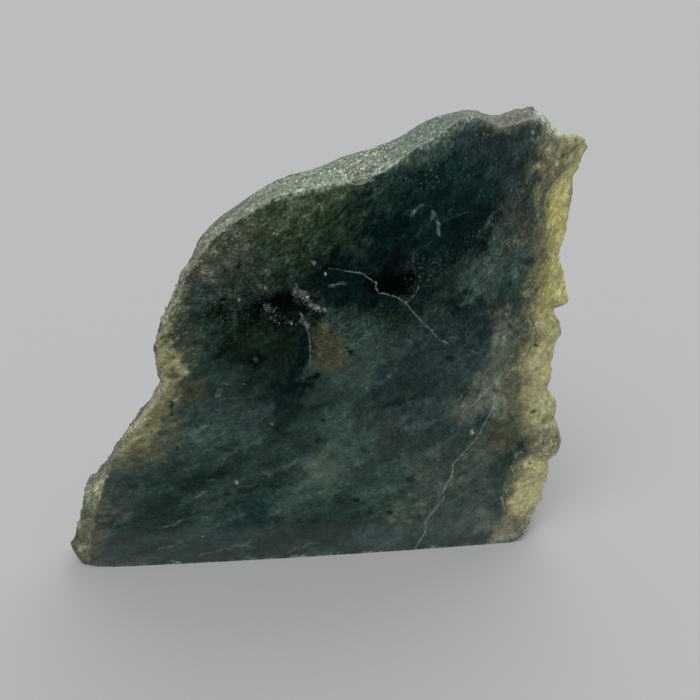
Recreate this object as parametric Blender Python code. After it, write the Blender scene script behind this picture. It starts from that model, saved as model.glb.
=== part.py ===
"""A free-standing chunk of rough labradorite, about 144 mm wide and 127 mm high.

It is one natural piece: a slab with a polished, very slightly domed face, a
broken rim, a rough cleaved back and a foot that is sawn flat, so it stands up.

The model is in metres with +Z up. The polished face looks towards -Y and +X
runs along it to the right. The origin is the middle of the bounding box's floor.
"""

import math

import bmesh
import bpy
from mathutils import Vector, noise
from mathutils.geometry import delaunay_2d_cdt

NODE_NAME = "labradorite_chunk"
MM = 0.001

# Everything below is in millimetres until the mesh is finished. X and Z are
# measured from the front left corner of the foot, Y back from the polished face.

# Stations round the rim, clockwise from the left end of the foot: the edge of
# the polished face (x, z), the outermost line of the broken rim (x, z) and how
# far that line lies behind the face. Each row is one station: face edge x,
# face edge z, rim x, rim z, rim depth.
RIM_STATIONS = {
    "left foot": [
        (1.0, 2.0, -3.5, -1.0, 5), (2.5, 9.5, -4.8, 6.0, 5), (4.5, 19.0, -0.8, 17.0, 5),
        (7.0, 25.0, 0.6, 22.5, 6), (8.2, 29.0, 5.4, 27.0, 5), (9.8, 32.5, 8.2, 31.0, 4)],
    "left flank": [
        (11.0, 36.0, 9.2, 34.0, 3), (16.0, 42.5, 15.0, 41.5, 3), (22.0, 48.5, 21.2, 47.8, 3),
        (25.0, 53.5, 24.4, 53.0, 3), (28.0, 58.0, 26.8, 57.0, 4)],
    "left bulge": [
        (26.5, 62.5, 25.0, 61.0, 4), (26.5, 69.5, 24.5, 68.0, 4), (28.5, 75.0, 27.0, 74.0, 4),
        (32.0, 82.0, 30.3, 81.5, 4), (35.5, 88.0, 34.0, 88.0, 5), (39.5, 94.0, 37.5, 94.0, 6)],
    "shoulder": [
        (42.5, 97.5, 40.5, 97.0, 10), (47.0, 100.5, 44.0, 99.5, 14), (52.5, 104.0, 49.5, 102.5, 18),
        (58.0, 107.0, 55.0, 106.0, 20), (63.5, 108.5, 61.5, 109.0, 22)],
    "crest": [
        (69.5, 109.5, 68.5, 111.0, 22), (75.5, 110.5, 76.0, 113.6, 22), (81.0, 111.5, 82.0, 115.0, 22),
        (85.0, 113.0, 87.0, 116.0, 22), (89.0, 116.0, 92.0, 118.0, 21), (94.0, 119.0, 96.0, 121.0, 20),
        (99.0, 122.0, 100.0, 123.7, 18), (103.5, 125.0, 104.0, 125.5, 15), (107.5, 125.5, 108.0, 126.7, 12)],
    "hump": [
        (111.5, 124.0, 112.0, 126.3, 10), (114.5, 123.0, 115.5, 126.0, 9), (119.0, 124.0, 119.5, 127.4, 9),
        (122.5, 124.5, 124.0, 127.6, 8), (125.5, 122.5, 126.6, 124.6, 7)],
    "tip": [
        (127.5, 120.5, 129.5, 122.0, 5), (131.0, 119.0, 132.6, 120.2, 4), (133.5, 119.0, 136.0, 121.2, 4),
        (133.5, 116.5, 139.0, 117.4, 5), (132.0, 114.0, 138.4, 113.5, 7)],
    "upper right edge": [
        (129.5, 110.0, 137.3, 109.0, 9), (126.0, 107.0, 138.0, 105.0, 10), (125.0, 103.5, 138.0, 100.5, 10),
        (126.5, 99.0, 136.4, 94.5, 9), (129.0, 94.5, 134.8, 91.0, 7), (129.5, 90.0, 134.5, 88.0, 6),
        (128.5, 86.0, 136.7, 84.0, 7), (127.0, 82.0, 137.2, 78.5, 8), (124.5, 79.0, 138.8, 74.6, 8)],
    "ragged edge": [
        (124.0, 75.5, 134.6, 72.9, 7), (125.5, 72.5, 137.0, 69.5, 8), (127.0, 68.0, 138.4, 65.5, 8),
        (126.0, 64.5, 136.8, 62.0, 8), (124.5, 61.5, 136.8, 58.0, 8), (124.0, 58.5, 135.3, 55.0, 7),
        (125.0, 55.0, 135.5, 52.0, 7), (126.0, 52.0, 134.2, 48.5, 7), (127.5, 49.0, 137.8, 44.5, 8),
        (129.5, 45.0, 138.0, 40.0, 7), (131.5, 40.0, 140.3, 35.0, 6), (132.5, 35.5, 139.6, 31.8, 5)],
    "lower right edge": [
        (130.5, 32.5, 139.0, 28.5, 5), (125.5, 30.5, 137.2, 24.8, 7), (125.0, 26.5, 138.2, 21.5, 7),
        (123.5, 22.5, 138.2, 17.0, 8), (122.5, 18.0, 137.7, 12.5, 8), (122.5, 13.5, 137.0, 8.5, 7),
        (124.5, 8.5, 134.9, 4.5, 6), (127.5, 5.0, 133.4, 1.0, 5)],
    "right foot": [(130.0, 1.5, 132.5, -2.0, 3), (127.5, -2.0, 129.0, -5.0, 3)],
    # The foot is carried on below the floor and sawn off at z = 0.
    "foot": [(112.0, -4.0, 112.0, -8.0, 8), (62.0, -5.0, 62.0, -9.0, 8), (16.0, -2.5, 16.0, -8.0, 8),
             (6.0, 0.5, 3.0, -5.0, 5)],
}

# The broken back is the lowest of these planes: depth at the hub, slope along X, slope along Z.
BACK_PLANES = {
    "middle": (30.5, 0.03, -0.04),
    "upper": (36.5, -0.04, -0.23),
    "right": (43.0, -0.42, -0.03),
    "lower right": (42.0, -0.22, 0.20),
    "left": (42.5, 0.30, 0.06),
    "upper left": (41.0, 0.22, -0.20),
}
HUB = (76.0, 52.0)          # middle of the slab, in X and Z
BACK_SHRINK = 0.075         # how far the back's outline draws in towards the hub
FACE_DOME = 1.2             # how far the polished face falls back at its ends

RIM_SPACING = 2.2           # between points along the rim
FRONT_RINGS = 5             # rings from the face's edge to the rim line
BACK_RINGS = 5              # rings from the rim line to the back's edge
FACE_GRID = 8.0             # spacing of points on the polished face
BACK_GRID = 3.3             # spacing of points on the back

EDGE_CHIPS = 0.5            # unevenness of the polished face's edge
SWELL = (1.0, 24.0)         # broad waves: height and size
BLOCKS = (0.17, 17.0)       # cleavage blocks: tilt of a block's face, and block size
LEDGES = (1.7, 15.0)        # cleavage ledges: height and spacing
RIM_SHARE = 0.4             # share of that roughness on the rim, whose stations hold its form
HIGHEST = 1.3               # the stations give the rim's high points, so roughness is taken off them
BEDDING = math.radians(32)  # slant of the layers and ledges, seen from the front
SEED = Vector((11.0, 5.0, 23.0))

STONE_COLOUR = (0.030, 0.047, 0.042, 1.0)
STONE_ROUGHNESS = 0.45


def all_stations():
    return [row for rows in RIM_STATIONS.values() for row in rows]


def catmull_rom(before, start, end, after, t):
    """The point at t (0 to 1) between start and end, on a smooth curve."""
    return tuple(
        0.5 * (2 * b + (c - a) * t + (2 * a - 5 * b + 4 * c - d) * t * t + (3 * b - a - 3 * c + d) * t ** 3)
        for a, b, c, d in zip(before, start, end, after))


def smooth_stations():
    """The stations, with more of them set evenly along a smooth closed curve."""
    rows = all_stations()
    count = len(rows)
    dense = []
    for i, start in enumerate(rows):
        end = rows[(i + 1) % count]
        steps = max(1, round(math.hypot(end[2] - start[2], end[3] - start[3]) / RIM_SPACING))
        for step in range(steps):
            dense.append(catmull_rom(rows[i - 1], start, end, rows[(i + 2) % count], step / steps))
    return dense


def face_depth(x, z):
    """The polished face falls back slightly away from its middle."""
    across = (x - HUB[0]) / 70
    up = (z - HUB[1]) / 75
    return FACE_DOME * (across * across + up * up)


def back_depth(x, z):
    """How far the broken back lies behind the polished face, before roughening."""
    return min(depth + along * (x - HUB[0]) + up * (z - HUB[1]) for depth, along, up in BACK_PLANES.values())


def section(station):
    """The points of one section: face edge, out to the rim line, then round to the back."""
    face_x, face_z, rim_x, rim_z, rim_depth = station
    points = []
    start = face_depth(face_x, face_z)
    for ring in range(FRONT_RINGS + 1):
        turn = math.pi / 2 * ring / FRONT_RINGS
        out = math.sin(turn)
        points.append((face_x + (rim_x - face_x) * out, start + (rim_depth - start) * ring / FRONT_RINGS,
                       face_z + (rim_z - face_z) * out))
    back_x = rim_x + (HUB[0] - rim_x) * BACK_SHRINK
    back_z = rim_z + (HUB[1] - rim_z) * BACK_SHRINK
    end = back_depth(back_x, back_z)
    for ring in range(1, BACK_RINGS + 1):
        turn = math.pi / 2 * ring / BACK_RINGS
        inward = 1 - math.cos(turn)
        points.append((rim_x + (back_x - rim_x) * inward, rim_depth + (end - rim_depth) * math.sin(turn),
                       rim_z + (back_z - rim_z) * inward))
    return points


def fill_outline(bm, ring, spacing, depth_at):
    """Fill a closed ring with triangles whose inner points lie at depth_at(x, z)."""
    outline = [Vector((vert.co.x, vert.co.z)) for vert in ring]
    edges = [(i, (i + 1) % len(outline)) for i in range(len(outline))]
    inner = []
    left, right = min(p.x for p in outline), max(p.x for p in outline)
    bottom, top = min(p.y for p in outline), max(p.y for p in outline)
    columns = range(int(left / spacing) - 1, int(right / spacing) + 2)
    rows = range(int(bottom / spacing) - 1, int(top / spacing) + 2)
    for column in columns:
        for row in rows:
            jitter = noise.random_unit_vector(size=2) * spacing * 0.22
            point = Vector(((column + 0.5 * (row % 2)) * spacing, row * spacing * 0.87)) + jitter
            if inside(point, outline) and min((point - corner).length for corner in outline) > spacing * 0.6:
                inner.append(point)
    flat, _, faces, sources, _, _ = delaunay_2d_cdt(outline + inner, edges, [], 1, 1e-5)
    verts = []
    for point, source in zip(flat, sources):
        if source and source[0] < len(ring):
            verts.append(ring[source[0]])
        else:
            verts.append(bm.verts.new((point.x, depth_at(point.x, point.y), point.y)))
    for face in faces:
        bm.faces.new([verts[i] for i in face])
    return [vert for vert in verts if vert not in set(ring)]


def inside(point, outline):
    """Whether a point lies within a closed outline."""
    within = False
    for a, b in zip(outline, outline[1:] + outline[:1]):
        if (a.y > point.y) != (b.y > point.y):
            if point.x < a.x + (point.y - a.y) * (b.x - a.x) / (b.y - a.y):
                within = not within
    return within


def roughness_at(point):
    """How far the broken surface stands out at a point: waves, tilted blocks and ledges."""
    place = Vector(point)
    swell = SWELL[0] * noise.fractal(place / SWELL[1] + SEED, 1.0, 2.0, 2)
    along = Vector((math.cos(BEDDING), 0, math.sin(BEDDING)))
    across = Vector((-math.sin(BEDDING), 0, math.cos(BEDDING)))
    layered = Vector((place.dot(along) / 1.8, place.y, place.dot(across)))
    centre = noise.voronoi(layered / BLOCKS[1] + SEED)[1][0]
    tilt = noise.cell_vector(centre * 7.3) - Vector((0.5, 0.5, 0.5))
    blocks = 2 * BLOCKS[0] * (layered - (centre - SEED) * BLOCKS[1]).dot(tilt)
    climb = (place.dot(across) + 0.35 * place.y) / LEDGES[1] + 0.8 * noise.noise(place / 30 + SEED)
    ledges = LEDGES[0] * (climb % 1.0 - 0.5)
    return swell + blocks + ledges


def saw_foot(bm):
    """Cut the foot flat at z = 0 and close the cut."""
    cut = bmesh.ops.bisect_plane(bm, geom=bm.verts[:] + bm.edges[:] + bm.faces[:], dist=0.02,
                                 plane_co=(0, 0, 0), plane_no=(0, 0, 1), clear_inner=True)
    for item in cut["geom_cut"]:
        if isinstance(item, bmesh.types.BMVert):
            item.co.z = 0
    loop = [item for item in cut["geom_cut"] if isinstance(item, bmesh.types.BMEdge)]
    bmesh.ops.contextual_create(bm, geom=loop)


def build_chunk():
    bm = bmesh.new()
    sections = [section(station) for station in smooth_stations()]
    ring_count = FRONT_RINGS + BACK_RINGS + 1
    rings = [[bm.verts.new(points[ring]) for points in sections] for ring in range(ring_count)]
    for inner, outer in zip(rings, rings[1:]):
        for i in range(len(inner)):
            j = (i + 1) % len(inner)
            bm.faces.new((inner[i], inner[j], outer[j], outer[i]))
    noise.seed_set(7)
    fill_outline(bm, rings[0], FACE_GRID, face_depth)
    back = fill_outline(bm, rings[-1], BACK_GRID, back_depth)
    bmesh.ops.recalc_face_normals(bm, faces=bm.faces[:])
    bm.normal_update()

    moves = {}
    for number, ring in enumerate(rings[1:], 1):
        share = RIM_SHARE + (1 - RIM_SHARE) * max(0.0, (number - FRONT_RINGS) / BACK_RINGS)
        for vert in ring:
            moves[vert] = vert.normal * (roughness_at(vert.co) - HIGHEST) * share
    for vert in back:
        moves[vert] = vert.normal * (roughness_at(vert.co) - HIGHEST)
    for vert in rings[0]:
        away = Vector((vert.co.x - HUB[0], 0, vert.co.z - HUB[1])).normalized()
        moves[vert] = away * EDGE_CHIPS * noise.noise(vert.co / 3 + SEED)
    for vert, move in moves.items():
        vert.co += move
    for vert in rings[0]:
        vert.co.y = face_depth(vert.co.x, vert.co.z)

    saw_foot(bm)
    bmesh.ops.triangulate(bm, faces=bm.faces[:])
    bmesh.ops.dissolve_degenerate(bm, dist=0.02, edges=bm.edges[:])
    bmesh.ops.recalc_face_normals(bm, faces=bm.faces[:])
    stand_on_origin(bm)
    mesh = bpy.data.meshes.new(NODE_NAME)
    bm.to_mesh(mesh)
    bm.free()
    return mesh


def stand_on_origin(bm):
    """Scale to metres, with the origin at the middle of the bounding box's floor."""
    low = [min(vert.co[axis] for vert in bm.verts) for axis in range(3)]
    high = [max(vert.co[axis] for vert in bm.verts) for axis in range(3)]
    middle = Vector(((low[0] + high[0]) / 2, (low[1] + high[1]) / 2, low[2]))
    for vert in bm.verts:
        vert.co = (vert.co - middle) * MM


def stone_material():
    material = bpy.data.materials.new("labradorite")
    material.use_nodes = True
    shader = material.node_tree.nodes["Principled BSDF"]
    shader.inputs["Base Color"].default_value = STONE_COLOUR
    shader.inputs["Roughness"].default_value = STONE_ROUGHNESS
    shader.inputs["Metallic"].default_value = 0.0
    material.diffuse_color = STONE_COLOUR
    return material


def main():
    for old in list(bpy.data.objects):
        bpy.data.objects.remove(old, do_unlink=True)
    chunk = bpy.data.objects.new(NODE_NAME, build_chunk())
    bpy.context.scene.collection.objects.link(chunk)
    chunk.data.materials.append(stone_material())
    chunk.data.shade_flat()


main()
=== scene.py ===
import math

import bmesh
import bpy
import numpy as np
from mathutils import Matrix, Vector, kdtree, noise


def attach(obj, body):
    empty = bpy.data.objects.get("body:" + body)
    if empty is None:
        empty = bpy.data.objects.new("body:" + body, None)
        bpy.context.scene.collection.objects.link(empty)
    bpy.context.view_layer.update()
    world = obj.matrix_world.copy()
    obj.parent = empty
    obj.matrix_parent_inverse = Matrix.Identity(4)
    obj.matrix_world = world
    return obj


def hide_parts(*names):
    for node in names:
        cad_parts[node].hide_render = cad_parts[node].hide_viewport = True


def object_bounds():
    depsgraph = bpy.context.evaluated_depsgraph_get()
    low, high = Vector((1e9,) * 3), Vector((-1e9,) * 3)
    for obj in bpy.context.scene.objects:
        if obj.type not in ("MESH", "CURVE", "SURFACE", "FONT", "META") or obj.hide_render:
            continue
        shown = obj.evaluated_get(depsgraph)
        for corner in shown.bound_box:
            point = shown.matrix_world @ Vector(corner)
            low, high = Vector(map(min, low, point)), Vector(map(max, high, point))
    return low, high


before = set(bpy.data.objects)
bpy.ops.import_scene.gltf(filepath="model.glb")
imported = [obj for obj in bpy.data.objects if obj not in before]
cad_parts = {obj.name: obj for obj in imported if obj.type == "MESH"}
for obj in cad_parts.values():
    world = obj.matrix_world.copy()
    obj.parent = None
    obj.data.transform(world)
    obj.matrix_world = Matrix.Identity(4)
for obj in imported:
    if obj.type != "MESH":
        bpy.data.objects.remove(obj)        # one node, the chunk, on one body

mm = 0.001
cadLow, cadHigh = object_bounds()
nodeName = "labradorite_chunk"

# Places on the stone are millimetres along the polished face (x) and up it (z),
# counted from the left end of the sawn foot. Depth (y) is counted back from the face.
footInset = 4.27 * mm          # the foot starts this far in from the chunk's left side
footLeft = cadLow.x + footInset
faceFront = cadLow.y
faceMiddle = (76.0, 52.0)      # where the domed face stands furthest forward
domeFall = 1.2                 # how far it falls back, at domeReach from the middle
domeReach = (70.0, 75.0)


def linear(red, green, blue):      # screen colour, 0 to 255, to a shader's linear colour
    parts = [part / 255 for part in (red, green, blue)]
    return tuple(part / 12.92 if part < 0.04045 else ((part + 0.055) / 1.055) ** 2.4 for part in parts)


def smooth(low, high, value):      # 0 below low, 1 above high, eased between
    t = np.clip((value - low) / (high - low), 0, 1)
    return t * t * (3 - 2 * t)


def fade(low, high, value):        # 1 below low, 0 above high
    return 1 - smooth(low, high, value)


def band(start, full, ending, end, value):     # eases in from start to full, and out again from ending to end
    return smooth(start, full, value) * fade(ending, end, value)


def domeDepth(x, z):               # how far the polished face lies behind its foremost point, in millimetres
    aside, above = (x - faceMiddle[0]) / domeReach[0], (z - faceMiddle[1]) / domeReach[1]
    return domeFall * (aside ** 2 + above ** 2)


def onStone(point):                # metres in the frame to millimetres on the stone
    return (point[0] - footLeft) / mm, (point[1] - faceFront) / mm, (point[2] - cadLow.z) / mm


def inFrame(x, y, z):
    return Vector((footLeft + x * mm, faceFront + y * mm, cadLow.z + z * mm))


stoneColours = {                   # screen colours
    "ground": (41, 59, 53),        # the slate green between everything else
    "black": (1, 5, 6),
    "ink": (5, 22, 22),
    "deepTeal": (7, 32, 31),
    "seaTeal": (23, 51, 50),
    "slate": (35, 50, 50),
    "steel": (56, 72, 73),
    "paleSteel": (84, 102, 98),
    "moss": (36, 54, 35),
    "darkMoss": (11, 25, 15),
    "sage": (62, 82, 73),
    "paleSage": (94, 105, 90),
    "umber": (66, 69, 52),
    "taupe": (52, 61, 54),
    "khaki": (84, 86, 68),
    "olive": (98, 99, 70),
    # the next four colours are the painted glow of light showing through the thin right edge
    "glowHoney": (152, 148, 84),
    "glowCream": (206, 200, 130),
    "glowButter": (174, 171, 126),
    "sunlit": (186, 182, 114),
    # painted glow of light showing through the thin left edge
    "glowStraw": (138, 136, 100),
    "tipKhaki": (134, 132, 102),
    "crumb": (152, 167, 156),
    "rimPale": (88, 99, 81),
    "rimTeal": (76, 91, 82),
    "rimKhaki": (80, 82, 60),
    "rimFade": (94, 108, 93),
    # painted light on the lit parts and facets of the left rim
    "rimLight": (150, 150, 120),
    "ash": (120, 122, 104),
    "mauve": (78, 81, 73),
    "mist": (101, 106, 91),
    "rimMoss": (78, 90, 66),
    # painted highlight along the polished face's edge
    "fringeHighlight": (168, 176, 150),
    "stepShade": (92, 92, 77),
    "footOlive": (84, 92, 64),
    "footMauve": (68, 70, 60),
    "clump": (92, 100, 90),
    # painted glints on the crumbs of the tip
    "sparkle": (206, 212, 196),
    "footShade": (48, 54, 34),
    "greige": (72, 81, 74),
    "pine": (24, 40, 36),
    "backStone": (74, 82, 72),
    "backBrown": (98, 94, 74),
    "backDark": (46, 56, 50),
}

# the clouds' colours also hold a faint painted reflection of the pale floor, lighter low on the polished face
# cloud name: (x, z, half length, half width, slant in degrees, colour, strength)
clouds = {
    "upperMoss": (66, 97, 20, 11, 20, "moss", 0.95),
    "oliveUnderRim": (66, 105.5, 17, 3.4, 12, "rimMoss", 0.6),
    "mossLight": (61, 96, 5.5, 6, 0, "umber", 0.25),
    "oliveShoulder": (46, 97, 6, 5, 45, "umber", 0.5),
    "leftTaupe": (44, 90, 8, 12, 60, "taupe", 1.0),
    "leftOlive": (49, 99, 5, 4, 45, "khaki", 0.5),
    "flankKhaki": (38.5, 92.5, 3.5, 8, 60, "khaki", 0.85),
    "topSage": (100, 119, 9, 3.4, 20, "sage", 0.5),
    "topSlate": (112, 117, 12, 6, 5, "slate", 0.95),
    "hump": (119, 126, 9, 2.6, 0, "olive", 0.75),
    "tealField": (98, 101, 21, 12, 12, "deepTeal", 1.0),
    "tealArm": (107, 97, 12, 5, 40, "ink", 0.9),
    "tealTop": (101, 110.5, 15, 5.5, 12, "deepTeal", 0.9),
    "inkLeft": (84, 93, 11, 8, -10, "ink", 0.85),
    "inkGap": (74, 86, 8, 5, 0, "ink", 0.95),
    "blackGap": (71, 85, 5, 4.5, 0, "black", 0.5),
    "darkBelt": (83, 82.5, 19, 4.5, -2, "ink", 0.95),
    "darkBeltLow": (87, 77.6, 8, 3.2, -8, "ink", 0.55),
    "inkRight": (98.5, 88, 5, 6, 30, "ink", 0.6),
    "blackHeart": (88, 84, 6.5, 3.6, -6, "black", 0.8),
    "blackThroat": (90.5, 88, 2.6, 5, 0, "black", 0.85),
    "greenRight": (117, 94, 13, 5, 58, "taupe", 0.6),
    "paleRight": (110.5, 84.2, 6.5, 4.2, 15, "sage", 0.55),
    "paleRightUp": (117, 91, 6, 5, 30, "sage", 0.5),
    "darkRight": (108, 76, 9, 3.8, -12, "ink", 0.9),
    "slateRight": (111, 71, 9, 5, 10, "slate", 0.8),
    "tipOlive": (130, 115, 6.8, 4.8, 45, "olive", 0.95),
    "tipPale": (128.5, 117.5, 7, 4, 35, "tipKhaki", 0.8),
    "plateEdge": (127.5, 109.5, 2.4, 2.4, 50, "olive", 0.7),
    "tipShade": (124, 109, 3.2, 6.5, -8, "taupe", 0.9),
    "tipDark": (124.5, 107.5, 3.2, 5, -4, "pine", 0.45),
    "rightTaupe": (122, 96, 4, 15, 6, "taupe", 0.8),
    "rightKhaki": (124.5, 92, 3.2, 8, 0, "khaki", 0.7),
    "rightTaupeLow": (118.5, 61, 5.5, 14, 4, "mist", 0.65),
    "mossPatch": (53.5, 70, 12, 11, 0, "darkMoss", 0.95),
    "mossAbove": (54.5, 84, 7, 4, 0, "darkMoss", 0.5),
    "mossPatchPale": (52, 72, 7, 5, 20, "moss", 0.2),
    "mossPatchCore": (58.5, 77.6, 10.5, 3.8, -3, "black", 0.95),
    "darkKnot": (62.5, 80, 3.5, 3.5, 0, "black", 0.6),
    "tealSeam": (63.6, 66, 3.2, 10, -4, "ink", 0.85),
    "brownPatch": (71, 67.5, 3.7, 7.6, 4, "umber", 1.0),
    "sagePatch": (79.5, 70, 6, 5, 30, "sage", 0.35),
    "sageBelow": (81, 60.5, 10, 5, 12, "sage", 0.6),
    "blueBand": (98, 65, 14, 7, 24, "slate", 0.95),
    "mossBelow": (86, 72.5, 6, 3.6, -10, "darkMoss", 0.55),
    "steelRight": (110, 61, 5, 7, -50, "steel", 0.6),
    "slateBand": (96, 54, 13, 6, 12, "slate", 0.8),
    "steelBand": (100, 43.8, 14, 5.2, 8, "steel", 0.85),
    "leftGlow": (27.2, 67, 2.9, 9, 4, "glowStraw", 0.9),
    "leftKhaki": (33, 73.5, 4.6, 9.5, -4, "umber", 0.5),
    "notchGlow": (26, 57, 2.6, 3.3, 40, "glowStraw", 0.85),
    "notchFade": (33, 55.5, 5.5, 3.6, 20, "umber", 0.85),
    "steelLeft": (42, 46, 12, 6.5, 12, "steel", 0.5),
    "darkUnderPatch": (54.5, 54.5, 6.5, 5, -10, "ink", 0.65),
    "sageLeft": (33, 41, 10, 6, 25, "sage", 0.75),
    "seamLow": (63, 60, 2.8, 6, -4, "ink", 0.85),
    "inkColumn": (57.5, 49, 4.6, 8, -15, "ink", 0.6),
    "inkStreak": (37, 28, 12, 2.6, 32, "ink", 0.5),
    "greenLeft": (21, 14, 11, 8, 30, "pine", 0.55),
    "tealPool": (46, 15, 10, 4.5, 32, "seaTeal", 0.85),
    "mauveEdge": (5, 17.5, 3.0, 14, -24, "mauve", 0.75),
    "footLeft": (-1.5, 12, 3.2, 15, -14, "olive", 0.7),
    "khakiFlank": (20.8, 42.3, 10.8, 7.6, 48, "khaki", 0.95),
    "khakiEdge": (18.5, 44.5, 11, 4.2, 48, "glowStraw", 0.45),
    "bottomBlue": (66, 8, 20, 5, 6, "ink", 0.5),
    "bottomSteel": (86, 6, 9, 4, 0, "steel", 0.8),
    "sageMiddle": (70, 26.5, 10, 7, 30, "sage", 0.85),
    "sageHeart": (71, 30, 6, 4, 30, "paleSage", 0.5),
    "sageLow": (58, 18, 7.5, 4, 20, "sage", 0.75),
    "greenMiddle": (89.5, 24, 8, 9, 20, "sage", 0.75),
    "greenLow": (94.5, 14.5, 5, 4, 0, "paleSage", 0.7),
    "brownMiddle": (86, 40, 5, 9, 10, "taupe", 0.6),
    "brownLow": (102, 24, 7, 10, 10, "greige", 0.75),
    "taupeLow": (114, 25, 9, 12, 20, "greige", 0.85),
    "greyCorner": (112, 10, 12, 5, 6, "greige", 0.75),
    "pocket": (111, 48, 7, 4.2, 35, "mist", 0.65),
    "khakiRight": (121, 49, 5, 7, 0, "mist", 0.95),
    "rightStep": (124, 37, 8, 4.5, 10, "khaki", 0.9),
    "sageMid": (76.5, 39.5, 5.5, 8, 10, "sage", 0.9),
    "lowSage": (36, 17, 7, 5, 25, "sage", 0.5),
    "cornerGrey": (127, 4, 7, 6, 0, "ash", 0.85),
    "darkCorner": (93.5, 76.2, 4, 3, 0, "ink", 0.6),
    "edgeFade": (12.5, 30.5, 7, 5, 48, "greige", 0.55),
    "pineLow": (30, 5, 8, 4, 0, "pine", 0.5),
    "tipGap": (121.3, 113, 3.2, 4.2, 0, "pine", 0.8),
    "inkMiddle": (97, 98, 4, 3, 20, "ink", 0.6),
    "mossPale": (74, 96, 6, 4.5, -45, "moss", 0.6),
    "mossDark": (61.5, 88.5, 4, 3.5, 0, "darkMoss", 0.6),
    "taupeDark": (46, 89, 3.5, 3.5, 0, "moss", 0.5),
    "tealPale": (104, 108, 5, 3.5, 0, "seaTeal", 0.5),
    "taupePale": (117.5, 102.5, 4, 3.5, 0, "taupe", 0.6),
    "shoulderPale": (43.5, 95, 3.5, 4.5, 60, "khaki", 0.4),
    "humpDark": (116, 121.5, 4, 2, 0, "pine", 0.4),
    "sageRight": (118.5, 87, 3.5, 4, 0, "sage", 0.5),
    "pineMiddle": (68.5, 48.5, 4.5, 3, 0, "pine", 0.5),
}

# painted glow of light showing through the thin right edge: (height, where it starts, where it is full, how
# strongly)
glowRows = [
    (-2, 129, 137, 0.3), (4, 127, 134, 0.4), (8, 124, 131, 0.8), (14, 122, 126, 1), (18, 122.3, 128, 0.9),
    (24, 122.3, 130, 0.85), (27, 123, 129.5, 0.8), (30, 125, 135, 0.25), (36, 121, 134, 0.2),
    (42, 121, 130, 0.55), (48, 121.5, 131, 0.7), (54, 121, 130, 0.85), (58, 120, 126.5, 1),
    (62, 122, 129, 1), (66, 122, 131, 0.8), (70, 123, 131, 0.85), (74, 122, 130, 1), (78, 122.5, 129.5, 1),
    (84, 124, 129.5, 0.9), (90, 126, 130, 1), (95, 126.4, 130.6, 0.95), (102, 124.5, 128.5, 1),
    (106, 125, 128, 1.1), (109, 127.8, 130, 1), (112, 129, 131.5, 1), (114.5, 130.5, 133, 1),
    (117, 131.5, 137, 0.9), (119, 130, 137, 0.7), (121, 124, 131, 0.6), (128, 124, 131, 0.6),
]

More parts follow.
